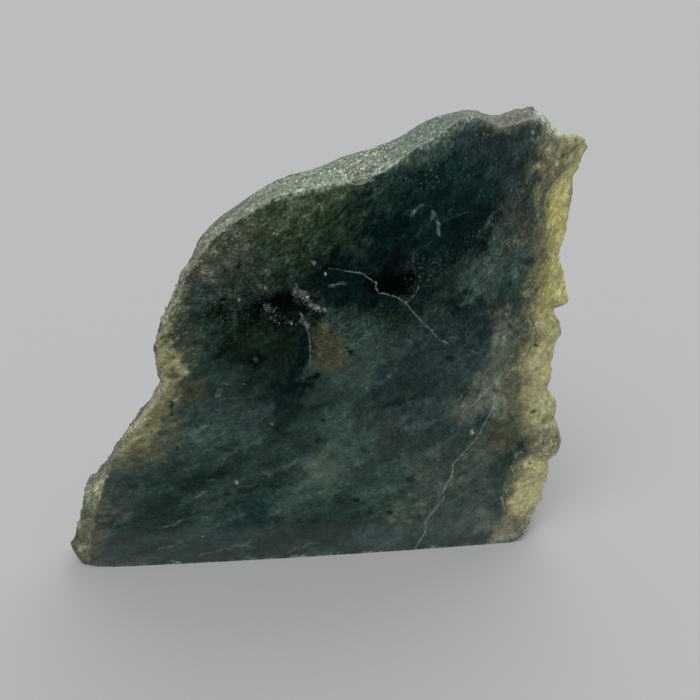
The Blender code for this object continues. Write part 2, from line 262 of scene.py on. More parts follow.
# hair name: (group, half width, colour, strength, cut depth, points along it); hairs of one group never meet
hairs = {
    "crackStart": ("b", 0.11, "crackPale", 0.5, 0.0, [(71, 88.6), (73.6, 88.3), (76, 87.7)]),
    "crackTop": ("a", 0.16, "crackPale", 0.8, 0.08, [
        (75.4, 87.8), (77.6, 87.4), (80, 87), (81.5, 85.6), (83.5, 84.4), (83.3, 83), (84.2, 81.6),
        (87, 81), (89, 80.2), (91.3, 78.6), (93, 76.5), (95.5, 73.5), (98.5, 70.6), (100.5, 68.1),
        (102, 67.2), (103.4, 66.6)]),
    "crackFork": ("b", 0.13, "crackPale", 0.75, 0.06, [
        (91.5, 78.5), (92.6, 79.6), (93.9, 81.2), (94.8, 83.2)]),
    "crackRise": ("b", 0.14, "crackTeal", 0.5, 0.0, [
        (95.2, 84.4), (94.6, 86.6), (92.8, 88.2), (93.1, 90.4), (92.9, 92), (94.9, 93.6), (96.8, 94.1),
        (98.4, 95.7)]),
    "crackFoot": ("b", 0.12, "crackTeal", 0.5, 0.0, [(91.5, 77.5), (90, 75.6), (88.4, 74)]),
    "sideVein": ("a", 0.14, "crackTeal", 0.55, 0.0, [(100.5, 100), (103, 101), (107.2, 102.3)]),
    "thinVein": ("a", 0.12, "crackTeal", 0.3, 0.0, [(94, 104.6), (98.2, 103.5)]),
    "dashVein": ("a", 0.2, "crackPale", 0.5, 0.0, [(71, 83.7), (73.2, 84.4), (75.6, 84.3)]),
    "rimHairOne": ("a", 0.12, "crackTeal", 0.5, 0.0, [(73.5, 102.6), (75.5, 104.8), (78, 107.3)]),
    "rimHairTwo": ("a", 0.12, "crackTeal", 0.5, 0.0, [(80.5, 105.5), (85, 108.5), (89.5, 111.5)]),
    "patchSide": ("a", 0.17, "crackPale", 0.65, 0.05, [
        (63.6, 77), (64.6, 74.6), (65.8, 71), (66.1, 67), (65.9, 62)]),
    "crackLowTop": ("a", 0.2, "crackPale", 0.85, 0.08, [
        (118.7, 57), (116.5, 54), (114, 51.5), (112, 49), (110.5, 47)]),
    "crackLow": ("a", 0.23, "crackPale", 0.85, 0.08, [
        (117.4, 50.6), (116.8, 46), (115, 42), (113.5, 38.2), (112.3, 36.4), (110.5, 34), (108, 31),
        (106.3, 29), (106.5, 26.6), (105.8, 24), (104.5, 22), (104, 20), (104.3, 17.6), (102.5, 15),
        (100.5, 12), (98.9, 9.6), (99.5, 8), (99, 5.5), (97.5, 3), (96.3, 0)]),
    "crackLoop": ("b", 0.12, "crackPale", 0.5, 0.0, [
        (106.9, 26), (105.9, 21.6), (103, 20.4), (103.2, 17.6)]),
    "chipOutline": ("a", 0.22, "crackCream", 1.0, 0.0, [
        (75.2, 111.9), (76.4, 110.2), (78.4, 109.8), (80.3, 110.0), (82, 111.4), (83.4, 112.8)]),
    "cleaveTip": ("b", 0.26, "crackDark", 0.8, 0.25, [
        (124.8, 105.2), (126.9, 107.1), (129.2, 109.7), (131.3, 112.3), (132.6, 114)]),
    "tipShadow": ("a", 0.42, "crackDark", 0.6, 0.1, [
        (129.2, 114.8), (131, 116.2), (133.1, 117.1), (134.7, 118)]),
    "cleaveFan": ("a", 0.14, "crackDark", 0.7, 0.1, [(125.6, 30.6), (129, 31.6), (133.4, 34)]),
    "cleaveShort": ("b", 0.12, "crackDark", 0.6, 0.08, [(128.5, 23.6), (131.5, 24.4), (135.2, 26.4)]),
    "cleaveBranch": ("b", 0.12, "crackDark", 0.6, 0.08, [(126.2, 17.4), (129.4, 18.4), (133.5, 18.8)]),
    "cleaveLow": ("a", 0.16, "crackDark", 0.8, 0.1, [
        (124, 6.6), (126.4, 7.6), (128.6, 8.6), (130.4, 10.6), (132, 12.6)]),
    "cleaveMiddle": ("a", 0.14, "crackDark", 0.7, 0.1, [(127.6, 20), (130.5, 20.8), (134.6, 21.4)]),
    "cleaveHigh": ("a", 0.14, "crackDark", 0.7, 0.1, [(126.4, 26.8), (130, 28.2), (134.8, 30.2)]),
}
hairColours = {
    "crackPale": (134, 146, 136),
    "crackCream": (160, 166, 144),
    "crackTeal": (72, 98, 94),
    "crackDark": (40, 36, 22),
}

# streak: (start, end, half width, colour, strength)
streaks = [
    ((97.2, 103.2), (98.4, 100), 0.5, "paleSteel", 0.65),
    ((98.2, 100), (100.2, 96.4), 0.5, "paleSteel", 0.7),
    ((92.0, 101.9), (95.4, 104.4), 0.4, "paleSteel", 0.6), ((88, 63), (97, 70), 1.0, "steel", 0.5),
    ((22, 12.3), (31, 16.2), 0.45, "paleSteel", 0.7), ((28.5, 21.5), (37, 24.5), 0.4, "paleSteel", 0.65),
    ((20.5, 5), (27.5, 8), 0.4, "paleSteel", 0.7), ((32, 2), (40, 4.5), 0.5, "paleSteel", 0.5),
    ((40, 4.5), (48, 6), 0.5, "paleSteel", 0.5), ((50.5, 29.5), (56, 30), 0.6, "paleSteel", 0.5),
    ((56, 30), (62, 33.5), 0.7, "paleSteel", 0.5), ((52, 14.5), (57, 17), 0.6, "paleSteel", 0.45),
    ((57.5, 2), (68, 5), 0.6, "paleSteel", 0.5), ((91, 41.5), (103, 43.5), 0.8, "paleSteel", 0.35),
    ((70, 84), (76, 84.6), 0.5, "steel", 0.4), ((110, 95.5), (113.5, 102), 0.45, "sage", 0.5),
    ((36, 27.8), (39, 28.8), 0.4, "paleSteel", 0.7), ((40.2, 54), (42.8, 56), 0.5, "paleSteel", 0.9),
    ((36, 33), (54, 41), 0.7, "paleSteel", 0.35), ((30, 9), (47, 17), 0.7, "steel", 0.6),
    ((74, 11), (90, 14.5), 0.6, "steel", 0.6), ((76, 52), (92, 59), 0.8, "steel", 0.5),
    ((40, 22.5), (57, 27), 0.9, "ink", 0.5), ((24, 26), (37, 31), 0.8, "ink", 0.5),
    ((84, 48.5), (98, 52), 0.8, "ink", 0.45), ((10.5, 27), (19, 33), 0.5, "taupe", 0.6),
    ((74.5, 68), (78, 64), 0.3, "black", 0.6), ((63.6, 82.6), (65.8, 79.6), 0.6, "clump", 0.75),
    ((65.6, 79.8), (69.6, 77.4), 0.7, "clump", 0.7), ((54.6, 79.2), (56.4, 77.6), 0.7, "clump", 0.35),
    ((56.7, 76.1), (57.4, 74.6), 0.6, "clump", 0.5), ((62.6, 84.8), (63, 81.6), 0.35, "clump", 0.7),
    ((63.9, 76.2), (65.8, 72.6), 0.75, "clump", 0.6), ((45.6, 76.4), (47.2, 76.0), 0.7, "clump", 0.5),
    ((53.6, 84.9), (54.9, 84.1), 0.6, "clump", 0.5), ((28.4, 53), (28.8, 47.6), 0.6, "darkMoss", 0.8),
]

# where sugary white crumbs sit, and, at the tip and down the right edge, painted glints: (x, z, half length,
# half width, slant, strength)
crumbZones = [
    (55.8, 78.2, 2.2, 1.3, -20, 0.9), (57.2, 75.4, 1.6, 1.8, 0, 0.85), (65.2, 80.2, 1.8, 1.6, -40, 1.2),
    (69, 77.9, 3.0, 1.1, -8, 1.3), (61.2, 74.4, 1.8, 0.9, 0, 1.0), (58.6, 98.9, 2.4, 0.9, 0, 0.85),
    (60, 95.4, 1.2, 1.8, -20, 0.95), (62.4, 96.6, 2.2, 0.9, 0, 0.8), (54.3, 94.9, 0.9, 0.9, 0, 0.8),
    (62.8, 83, 0.7, 2.4, 0, 0.6), (109, 120.6, 2.2, 1.1, 20, 0.8), (113, 120.9, 2.2, 1.1, -10, 0.7),
    (110, 117.2, 1.1, 0.9, 0, 0.8), (125.4, 124.4, 3.4, 1.4, -48, 1.35),
    (128.6, 121.4, 2.8, 1.2, -20, 1.25), (133.6, 120.4, 3.0, 1.2, -25, 1.0),
    (137.4, 115.4, 1.4, 3.0, 0, 0.9), (133.6, 84, 1.6, 6, 0, 1.2), (60, 107.2, 5, 1.0, 14, 0.8),
    (73, 109.8, 6, 0.9, 8, 0.8), (88, 114.6, 4, 1.0, 40, 0.7), (98, 88, 7, 3.5, 30, 0.3),
    (112, 96, 8, 4, 60, 0.3), (98, 112, 12, 4, 10, 0.3), (46, 95, 6, 4, 50, 0.5),
    (103, 21, 2, 3.4, -20, 0.35), (90, 79.6, 2.5, 1.0, -20, 0.5), (44, 80, 8, 8, 0, 0.25),
    (139, 34, 2.4, 5, 0, 0.8), (137.5, 68, 1.5, 3, 0, 0.5),
]

# spot: (x, z, half length, half width, slant, colour, strength)
spots = [
    (86.4, 83.7, 4.0, 1.5, -4, "black", 1.0), (90.2, 84.4, 3.4, 1.9, 8, "black", 1.0),
    (88.6, 82.2, 3.2, 1.3, -14, "black", 1.0), (51.8, 64.1, 2.2, 1.7, 20, "black", 0.7),
    (51.9, 64.3, 0.55, 0.7, 0, "sage", 0.6), (48.5, 90, 0.7, 0.9, 0, "black", 0.8),
    (70.2, 87.2, 0.35, 0.3, 0, "crumb", 0.9), (67.4, 90.1, 0.5, 0.3, 20, "crumb", 0.5),
    (55, 84.3, 0.4, 0.25, 30, "crumb", 0.5), (48.2, 81, 0.4, 0.3, 0, "crumb", 0.4),
    (44, 57.5, 0.4, 0.3, 0, "crumb", 0.4), (47.8, 57.5, 0.4, 0.3, 0, "crumb", 0.4),
    (55.3, 45, 0.4, 0.4, 0, "crumb", 0.4), (122.1, 121.4, 0.4, 0.4, 0, "crumb", 0.7),
    (44.7, 27, 0.45, 0.4, 0, "crumb", 0.8), (47.2, 31.8, 0.45, 0.8, 0, "steel", 0.8),
    (33.8, 9.2, 0.3, 0.3, 0, "crumb", 0.7), (33.8, 21.5, 0.5, 0.8, 0, "steel", 0.8),
    (27.3, 8, 1.2, 0.6, 0, "steel", 0.9), (10.4, 15.6, 0.7, 0.9, 0, "steel", 0.8),
    (111.5, 39, 0.5, 0.8, 20, "crumb", 0.8), (128.3, 64.5, 1.0, 0.5, -50, "darkMoss", 0.9),
    (76.8, 65.6, 0.7, 0.5, 0, "black", 0.8), (123.6, 89, 1.3, 0.9, 0, "darkMoss", 0.6),
    (69, 45.3, 0.6, 0.5, 0, "black", 0.8), (67.5, 39.5, 0.4, 0.6, 0, "black", 0.8),
    (94, 24.5, 1.3, 1.0, 0, "darkMoss", 0.6), (78.5, 18.9, 1.2, 0.8, 20, "darkMoss", 0.8),
    (88.5, 14, 0.9, 0.8, 0, "darkMoss", 0.8), (128.8, 44.7, 0.7, 0.5, 0, "darkMoss", 0.8),
    (130.3, 26.3, 0.35, 0.35, 0, "darkMoss", 1.0), (29, 38.7, 0.4, 0.9, 0, "darkMoss", 0.9),
    (16, 42.5, 0.5, 0.35, 20, "darkMoss", 0.9), (35, 45, 0.4, 0.9, 10, "darkMoss", 0.7),
    (22.6, 44, 0.4, 0.4, 0, "darkMoss", 0.8), (30, 60.4, 1.6, 0.9, 0, "darkMoss", 0.6),
    (104, 62.2, 1.2, 0.9, 0, "ink", 0.7), (62, 70, 1.4, 1.0, 0, "moss", 0.5),
    # the sparkle spots are painted glints on the tip
    (79.0, 111.0, 2.9, 1.1, 6, "rimFade", 0.85), (124.8, 125.0, 1.3, 0.45, -50, "sparkle", 0.6),
    (127.2, 122.6, 1.1, 0.4, -42, "sparkle", 0.6), (129.6, 121.2, 0.9, 0.4, -20, "sparkle", 0.55),
    (126.4, 121.6, 0.6, 0.4, 0, "crumb", 0.8), (132.4, 121.0, 0.6, 0.4, 0, "sparkle", 0.7),
]

# pale and dark facets on the rim, the rimLight ones painted light and the footShade ones painted shade: (x,
# depth, z, radius, colour, strength)
rimFacets = [
    (48.4, 5, 101.5, 2.0, "rimFade", 0.8), (50.6, 12, 104.8, 1.9, "steel", 0.8),
    (52.2, 4, 106.2, 1.5, "rimFade", 0.8), (46.2, 3, 99.2, 1.5, "steel", 0.8),
    (56, 14, 108.4, 1.6, "steel", 0.5), (70, 9, 113.5, 2.4, "khaki", 0.5),
    (3.9, 3, 25.5, 1.9, "rimLight", 1.0), (1.9, 3, 22.4, 1.5, "rimLight", 0.9),
    (6.3, 3, 27.6, 1.4, "rimLight", 0.9), (-0.6, 3, 18.6, 1.3, "footShade", 0.7),
    (-1.8, 3, 13, 1.6, "rimLight", 0.5), (-2.6, 3, 10, 1.5, "footShade", 0.7),
    (-1.2, 3, 6.5, 1.6, "rimLight", 0.4), (90, 8, 120.5, 2.2, "steel", 0.5),
    (80, 14, 118, 2.6, "khaki", 0.4), (62, 6, 110.6, 2, "steel", 0.4),
]


chunk = {
    "weld": 0.002,                        # points nearer to each other than this become one, mm
    "squareOn": 0.99,                     # how squarely the sawn foot and the polished face look out
    "domeSlack": 0.12,                    # how far the polished face may lie off its dome, mm
    "faceMesh": 0.62,                     # longest edges, mm: on the polished face
    "lineMesh": 0.36,                     # within lineReach of its hairs and thin streaks
    "borderMesh": 1.4,                    # along its edge, times lineMesh
    "rimMesh": 0.8,
    "backMesh": 1.4,
    "footMesh": 4.0,
    "meshSlack": 1.3,                     # an edge is cut where it is this many times too long
    "lineReach": 0.5,
    "thinStreak": 0.6,                    # a streak of this half width or more needs no finer mesh
    "backFrom": (0.75, 24),               # the back: how far it looks backward, or how deep it lies, mm
    "softening": 3,                       # passes that take the solid's flat facets off the broken stone
    "sharpEdge": 0.6,                     # how much less of that the thin right edge gets
    "blocks": (0.45, 7.0, 1.7),           # cleavage blocks: how far they stand out, size, length to width
    "steps": (0.30, 2.4, 1.5),            # smaller broken steps
    "raggedEdge": 0.9,                    # how much bolder the steps are down the right edge
    "ruggedBack": 1.2,                    # how much bolder the blocks and steps are behind
    "crumbs": (0.12, 1.3, 1.2),           # the sugary grain
    "calming": (0.8, 0.4, 0.3),           # how much flatter the crest, right edge and glassy part are
    "glassyCrumbs": 0.7,                  # how much less grain the glassy cleavage has
    "settle": 1.8,                        # how far from the polished face the breaks reach full height, mm
    "faceWave": (0.03, 14.0),             # the polish's faint waviness
    "edgeRoll": (0.2, 1.0),               # how far and over what width the polished face's edge rolls off
    "chips": (0.45, 2.2),                 # chips out of that edge: depth and size
    "fineChips": (0.5, 0.8),              # smaller ones among them: share and size
    "chipReach": 1.6,                     # how far a chip reaches from the edge, mm
    "crestChips": 0.7,                    # how much less of them the crest has
    "cutWalls": (0.1, 0.5),               # a crack's cut is full within the first and gone at the second, mm
    "tipLedge": (0.7, 5.0),               # under the tip's cleavage the face drops back, then recovers, mm
    "ledgeStart": 105,                    # the height where that begins, mm
    "footEnds": ((-1.0, 2.6, 3.5), (125.6, 4.2, 2.6)),     # lifted ends: where they start, length and lift
    "footLow": (2.5, 0.6),                # stone below this many lifts is squeezed, to this share
    "slant": 30,                          # the layers' slant at the middle of the face, in degrees
    "slantGain": 0.45,                    # how much steeper the layers run towards the top
    "layerMiddle": (70, 50),
}

rim = {                                   # where the broken stone's parts ease in and out, mm
    "sharpEdge": (116, 124),
    "crestHeight": (88, 100),
    "crestDepth": (20, 27),
    "crestEnd": (121, 126),
    "rightStart": (112, 122),
    "rightDepth": (12, 20),
    "glassyHeight": (3, 7, 28, 33),
    "looksUp": (0.2, 0.6),                # how squarely the crest looks up, the right edge right,
    "looksRight": (0.0, 0.3),             # and the back backward
    "looksBack": (0.2, 0.7),
}


def weldedSolid():
    bm = bmesh.new()
    bm.from_mesh(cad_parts[nodeName].data)
    bmesh.ops.remove_doubles(bm, verts=bm.verts[:], dist=chunk["weld"] * mm)
    bm.normal_update()
    return bm


def tagSurfaces(bm):               # face material 1 is the polished face, 2 the sawn foot, 0 broken stone
    for face in bm.faces:
        onFloor = face.calc_center_median().z < cadLow.z + 0.02 * mm
        face.material_index = 2 if onFloor and face.normal.z < -chunk["squareOn"] else 0
    start = max((f for f in bm.faces if f.normal.y < -chunk["squareOn"]), key=lambda f: f.calc_area())
    start.material_index = 1
    waiting = [start]
    while waiting:
        face = waiting.pop()
        for edge in face.edges:
            for other in edge.link_faces:
                x, y, z = onStone(other.calc_center_median())
                onDome = abs(y - domeDepth(x, z)) < chunk["domeSlack"] and other.normal.y < -chunk["squareOn"]
                if other.material_index == 0 and onDome:
                    other.material_index = 1
                    waiting.append(other)


def alongSegment(x, z, start, end):    # distance to a segment, its side (+1 or -1), how far along (0 to 1)
    (ax, az), (bx, bz) = start, end
    dx, dz = bx - ax, bz - az
    t = np.clip(((x - ax) * dx + (z - az) * dz) / (dx * dx + dz * dz), 0, 1)
    side = np.where((x - ax) * dz - (z - az) * dx < 0, -1.0, 1.0)
    return np.hypot(x - ax - t * dx, z - az - t * dz), side, t


def hairDistance(x, z):            # distance to the nearest hair or thin streak
    nearest = np.full(len(x), 1e3)
    lines = [streak[:2] for streak in streaks if streak[2] < chunk["thinStreak"]]
    for hair in hairs.values():
        lines += zip(hair[5], hair[5][1:])
    for start, end in lines:
        nearest = np.minimum(nearest, alongSegment(x, z, start, end)[0])
    return nearest


def wantedLength(edges, x, y, z):          # the longest that each edge may be, in millimetres
    kinds = np.array([[f.material_index for f in e.link_faces][:2] for e in edges])
    backward = np.array([max(f.normal.y for f in e.link_faces) for e in edges])
    polished = (kinds == 1).all(axis=1)
    looksBack, deep = chunk["backFrom"]
    wanted = np.where((backward > looksBack) | (y > deep), chunk["backMesh"], chunk["rimMesh"])
    wanted[polished] = chunk["faceMesh"]
    wanted[polished & (hairDistance(x, z) < chunk["lineReach"])] = chunk["lineMesh"]
    wanted[(kinds == 1).any(axis=1) & ~polished] = chunk["lineMesh"] * chunk["borderMesh"]
    wanted[(kinds == 2).all(axis=1)] = chunk["footMesh"]
    return wanted


def refine(bm):
    for step in range(9):          # at most
        edges = bm.edges[:]
        ends = np.array([[*e.verts[0].co, *e.verts[1].co] for e in edges])
        length = np.linalg.norm(ends[:, :3] - ends[:, 3:], axis=1) / mm
        middle = (ends[:, :3] + ends[:, 3:]) / 2
        wanted = wantedLength(edges, *onStone(middle.T))
        tooLong = [edges[i] for i in np.nonzero(length > wanted * chunk["meshSlack"])[0]]
        if not tooLong:
            break
        bmesh.ops.subdivide_edges(bm, edges=tooLong, cuts=1)
        bmesh.ops.triangulate(bm, faces=[f for f in bm.faces if len(f.verts) > 3], quad_method="SHORT_EDGE")
    bm.normal_update()


def relax(places, first, second, moving, passes, share):     # pull points to the mean of their neighbours
    count = np.bincount(first, minlength=len(places)) + np.bincount(second, minlength=len(places))
    for step in range(passes):
        total = np.zeros_like(places)
        np.add.at(total, first, places[second])
        np.add.at(total, second, places[first])
        places = places + ((total / count[:, None]) - places) * (share * moving)[:, None]
    return places


def layerPlaces(x, y, z):          # along the stone's layers, into its depth, and across them
    slant = math.radians(chunk["slant"])
    middleX, middleZ = chunk["layerMiddle"]
    lift = chunk["slantGain"] * (z - middleZ) / 50
    across = (z - middleZ) * math.cos(slant) - (x - middleX) * math.sin(slant) * (1 + lift)
    along = (x - middleX) * math.cos(slant) + (z - middleZ) * math.sin(slant)
    return np.column_stack([along, y, across])


def brokenFacets(size, stretch, seed):               # tilted facets, one to each cell, from -1 to 1
    out = np.zeros(len(layered))
    shift = Vector((seed, 2 * seed, 0))
    for n, (along, depth, across) in enumerate(layered):
        place = Vector((along / stretch, depth, across)) / size + shift
        centre = noise.voronoi(place)[1][0]
        tilt = noise.cell_vector(centre * 9.1 + Vector((seed, 3, 7))) - Vector((0.5, 0.5, 0.5))
        out[n] = 2.2 * (place - centre).dot(tilt)
    return np.clip(out, -1, 1)


def cloudNoise(layered, size, stretch, seed):        # soft noise about 0, longer along the layers
    shift = Vector((seed, seed, seed))
    return np.array([noise.noise(Vector((a / stretch, d, c)) / size + shift) for a, d, c in layered])


def blobWeight(x, z, blob, softness):                # 1 inside an ellipse, fading to 0 outside it
    cx, cz, halfLength, halfWidth, slant = blob[:5]
    turn = math.radians(slant)
    along = (x - cx) * math.cos(turn) + (z - cz) * math.sin(turn)
    across = (z - cz) * math.cos(turn) - (x - cx) * math.sin(turn)
    return fade(1 - softness, 1 + softness, np.hypot(along / halfLength, across / halfWidth))


def movePoints(bm, places):
    for vert, place in zip(bm.verts, places):
        vert.co = inFrame(*place)


print("stone: cutting the mesh fine")
bm = weldedSolid()
tagSurfaces(bm)
refine(bm)
bm.verts.ensure_lookup_table()
places = np.column_stack(onStone(np.array([v.co for v in bm.verts]).T))
first = np.array([e.verts[0].index for e in bm.edges])
second = np.array([e.verts[1].index for e in bm.edges])
polished = np.array([all(f.material_index == 1 for f in v.link_faces) for v in bm.verts])
touching = np.array([any(f.material_index == 1 for f in v.link_faces) for v in bm.verts])
sawn = np.array([any(f.material_index == 2 for f in v.link_faces) for v in bm.verts])
faceEdge = np.nonzero(touching & ~polished)[0]
print("stone:", len(bm.verts), "points,", len(bm.faces), "faces")

edgeTree = kdtree.KDTree(len(faceEdge))
for n in faceEdge:
    edgeTree.insert(places[n], int(n))
edgeTree.balance()
found = [edgeTree.find(place) for place in places]
nearestEdge = np.array([f[1] for f in found])
fromEdge = np.array([f[2] for f in found])           # mm from the polished face's edge

print("stone: breaking the rough surface")
sharp = chunk["sharpEdge"] * smooth(*rim["sharpEdge"], places[:, 0])
places = relax(places, first, second, (~touching & ~sawn) * (1 - sharp), chunk["softening"], 0.5)
movePoints(bm, places)
bm.normal_update()
normals = np.array([v.normal for v in bm.verts])
facing = normals[:, 1] < -0.1                        # looks out of the polished face
x, y, z = places.T
layered = layerPlaces(x, y, z)

# the crest is finely sugary, the lower right edge a glassy cleavage, and the rest breaks in blocks
crest = smooth(*rim["looksUp"], normals[:, 2]) * smooth(*rim["crestHeight"], z)
crest = crest * fade(*rim["crestDepth"], y) * fade(*rim["crestEnd"], x)
rightEdge = smooth(*rim["rightStart"], x) * smooth(*rim["looksRight"], normals[:, 0])
rightEdge = rightEdge * fade(*rim["rightDepth"], y)
glassy = rightEdge * band(*rim["glassyHeight"], z)
calm = np.prod([1 - less * part for less, part in zip(chunk["calming"], (crest, rightEdge, glassy))], axis=0)
rugged = calm * (1 + chunk["ruggedBack"] * smooth(*rim["looksBack"], normals[:, 1]))
blocks, steps, crumbs = chunk["blocks"], chunk["steps"], chunk["crumbs"]
height = blocks[0] * rugged * brokenFacets(*blocks[1:], 1.0)
height += steps[0] * rugged * (1 + chunk["raggedEdge"] * rightEdge) * brokenFacets(*steps[1:], 5.0)
height += crumbs[0] * (1 - chunk["glassyCrumbs"] * glassy) * brokenFacets(*crumbs[1:], 9.0)
height *= np.clip(fromEdge / chunk["settle"], 0, 1) * ~touching

# the polished face waves faintly and rolls off at its edge, and the cracks cut into it
wave = chunk["faceWave"][0] * cloudNoise(layered, chunk["faceWave"][1], 1.0, 3.0)
roll = np.clip(1 - fromEdge / chunk["edgeRoll"][1], 0, 1)
height += touching * (wave - chunk["edgeRoll"][0] * roll * roll)
cut = np.zeros(len(places))
for group, halfWidth, name, strength, depth, points in hairs.values():
    for start, end in zip(points, points[1:]):
        cut = np.maximum(cut, depth * fade(*chunk["cutWalls"], alongSegment(x, z, start, end)[0]))
height -= cut * facing
height[sawn] = 0

# chips out of the polished face's edge push it in towards the middle of the face
chipDepth, chipSize = chunk["chips"]
fineShare, fineSize = chunk["fineChips"]
chipNoise = cloudNoise(layered[faceEdge], chipSize, 1.0, 20.0)
chipNoise = chipNoise + fineShare * cloudNoise(layered[faceEdge], fineSize, 1.0, 30.0)
edgeChip = dict(zip(faceEdge, np.clip(chipNoise, -0.15, 0.6)))
chip = np.array([edgeChip[n] for n in nearestEdge]) * np.clip(1 - fromEdge / chunk["chipReach"], 0, 1)
chip = chip * (1 - chunk["crestChips"] * crest)
inward = np.column_stack([faceMiddle[0] - x, np.zeros(len(x)), faceMiddle[1] - z])
inward /= np.linalg.norm(inward, axis=1)[:, None] + 1e-6
places = places + normals * height[:, None] + inward * (chipDepth * 2 * chip * ~sawn)[:, None]

# under the tip's cleavage the face drops back and recovers
drop, recovery = chunk["tipLedge"]
points = hairs["cleaveTip"][5]
under = np.full(len(places), 9.0)      # signed distance below the cleavage, mm
for start, end in zip(points, points[1:]):
    gap, side, t = alongSegment(x, z, start, end)
    under = np.where(gap < np.abs(under), gap * side, under)
within = smooth(0, 1.5, z - chunk["ledgeStart"]) * (y < 8)
places[:, 1] += drop * band(0.0, 0.35, 1.0, recovery, under) * within

# the foot's two ends lift off the ground
(leftStart, leftLength, leftLift), (rightStart, rightLength, rightLift) = chunk["footEnds"]
leftFloor = leftLift * np.clip((leftStart - places[:, 0]) / leftLength, 0, 1.2) ** 1.5
rightFloor = rightLift * np.clip((places[:, 0] - rightStart) / rightLength, 0, 1.5) ** 1.5
endFloor = np.maximum(leftFloor, rightFloor)
lowest, squeeze = chunk["footLow"]
places[:, 2] = np.where(places[:, 2] < lowest * endFloor, endFloor + squeeze * places[:, 2], places[:, 2])
places[:, 2] = np.maximum(places[:, 2], 0)
movePoints(bm, places)

tints = {                          # where each tint eases in, or in and out again, mm on the stone
    "bendNoises": ((14, 1.5, 1), (14, 1.5, 2), (5, 1.4, 3), (5, 1.4, 4), (2, 1.3, 5), (2, 1.3, 6),
                   (0.95, 1.2, 12), (0.95, 1.2, 13)),     # size, stretch and seed of what bends outlines
    "cloudBends": ((4.5, 3.6), (3.4, 3.0), (2.0, 1.8), (1.7, 1.5)),     # how far they bend a cloud's, mm
    "veilNoises": ((3.5, 7), (3.5, 8), (2.2, 9)),         # size and seed of what breaks clouds up
    "faceTintAlong": (72, 84, 92, 98, 105, 111, 121, 126),
    "faceTintReach": (0.1, 0.1, 1.2, 2.8, 2.4, 1.6, 1.0, 0.3),      # how far it runs down the face there
    "faceTintHeight": (95, 105),
    "faceKhaki": (107, 111),             # where it turns khaki
    "lightDepth": (8, 16),               # how deep into the rim the light reaches
    "step": (28.5, 30.5, 33.5, 36),      # the dull step in the right edge
    "butterLow": (60, 92),
    "butterTip": (103, 107),
    "topLight": (45, 80),
    "underTip": (102, 105, 110, 114),
    "footHeight": (25, 34),              # the face's lower left edge
    "footAlong": (14, 20),
    "footReach": (0.4, 3.5),
    "leftHeight": (30, 40, 80, 95),      # the lit edge of the left bulge
    "leftAlong": (30, 42),
    "leftReach": (0.0, 4.0),
    "crestStart": (40, 47),
    "tealEnd": (50, 53),
    "tealAgain": (82, 97),
    "khakiCrest": (102, 113),
    "khakiEnd": (108, 117),
    "chip": (79.2, 112.6, 3.6, 1.9, 8),  # the chip in the crest: middle, half length, half width, slant
    "leftRim": (44, 52),
    "leftRimDepth": (9, 14),
    "oliveFoot": (24, 32),
    "taupeBand": (28, 31, 38, 44),
    "lit": (19, 26),
    "litLess": (74, 84),
    "litDip": (28, 31, 40, 48),
    "litPatches": (-0.35, 0.25),         # the noise's levels, not millimetres
    # where the left rim's painted glow shows
    "warm": (38, 48, 60, 70),
    "fringeHeight": (85, 95),
    "fringeEnd": (96, 104),
    "fringeWide": (54, 58, 70, 76),
    "fringePatches": (-0.25, 0.3),       # the noise's levels
    "behind": (7, 16),
    "backPatches": (0.02, 0.3),          # the noise's levels
    "speckle": (45, 85),
    "mossy": (60, 76),
    "mossyLess": (84, 100),
    "grainAlong": (44, 52, 60, 82, 94, 102, 112),
    "grainLevel": (0.45, 0.6, 1.0, 1.0, 0.7, 0.5, 0.4),             # how sugary the crest is there
}


def blend(colour, name, weight):
    return colour + (np.array(linear(*stoneColours[name])) - colour) * weight[:, None]


def layClouds(colour):             # each cloud is broken up by one of the veils, and most where it is thin
    wx, wz = x, z
    for number, (aside, up) in enumerate(tints["cloudBends"]):
        wx = wx + aside * bend[2 * number]
        wz = wz + up * bend[2 * number + 1]
    for number, cloud in enumerate(clouds.values()):
        weight = blobWeight(wx, wz, cloud, 0.5)
        weight = np.clip(weight * (1 + veils[number % 3] * (1.4 - weight)), 0, 1)
        colour = blend(colour, cloud[5], cloud[6] * weight)
    return colour


def tintFaceEdge(colour):          # the crest's pale tint runs down the face, and furthest under the summit
    colour = blend(colour, "sage", 0.55 * farTint)
    colour = blend(colour, "rimFade", 0.85 * edgeTint)
    return blend(colour, "khaki", 0.9 * edgeTint * smooth(*tints["faceKhaki"], x + 2 * bend[4]))


def letLightThrough(colour):       # painted glow: the light that shows through the thin right edge is painted into the colour
    level = np.clip(glowLevel, 0, 1)
    full = smooth(0.3, 1.1, glow) * front
    started = smooth(0.2, 1.0, glow) * front
    colour = blend(colour, "olive", 0.9 * smooth(-0.2, 0.5, glow) * front * smooth(0.2, 0.7, glowLevel))
    colour = blend(colour, "ash", started * np.clip(1.5 - 1.5 * glowLevel, 0, 1))
    colour = blend(colour, "stepShade", 0.85 * started * band(*tints["step"], z))
    colour = blend(colour, "glowHoney", full * level)
    butterGlow = fade(*tints["butterLow"], z + 8 * bend[2]) + smooth(*tints["butterTip"], z)
    colour = blend(colour, "glowButter", 0.9 * full * level * butterGlow)
    sunny = smooth(0.9, 1.8, glow + 0.8 * bend[3]) * front * smooth(0.6, 1, glowLevel)
    colour = blend(colour, "sunlit", (0.25 + 0.65 * smooth(*tints["topLight"], z)) * sunny)
    creamGlow = smooth(1.2, 2.4, glow + 0.6 * bend[3]) * front
    return blend(colour, "glowCream", 0.75 * band(*tints["underTip"], z) * creamGlow)


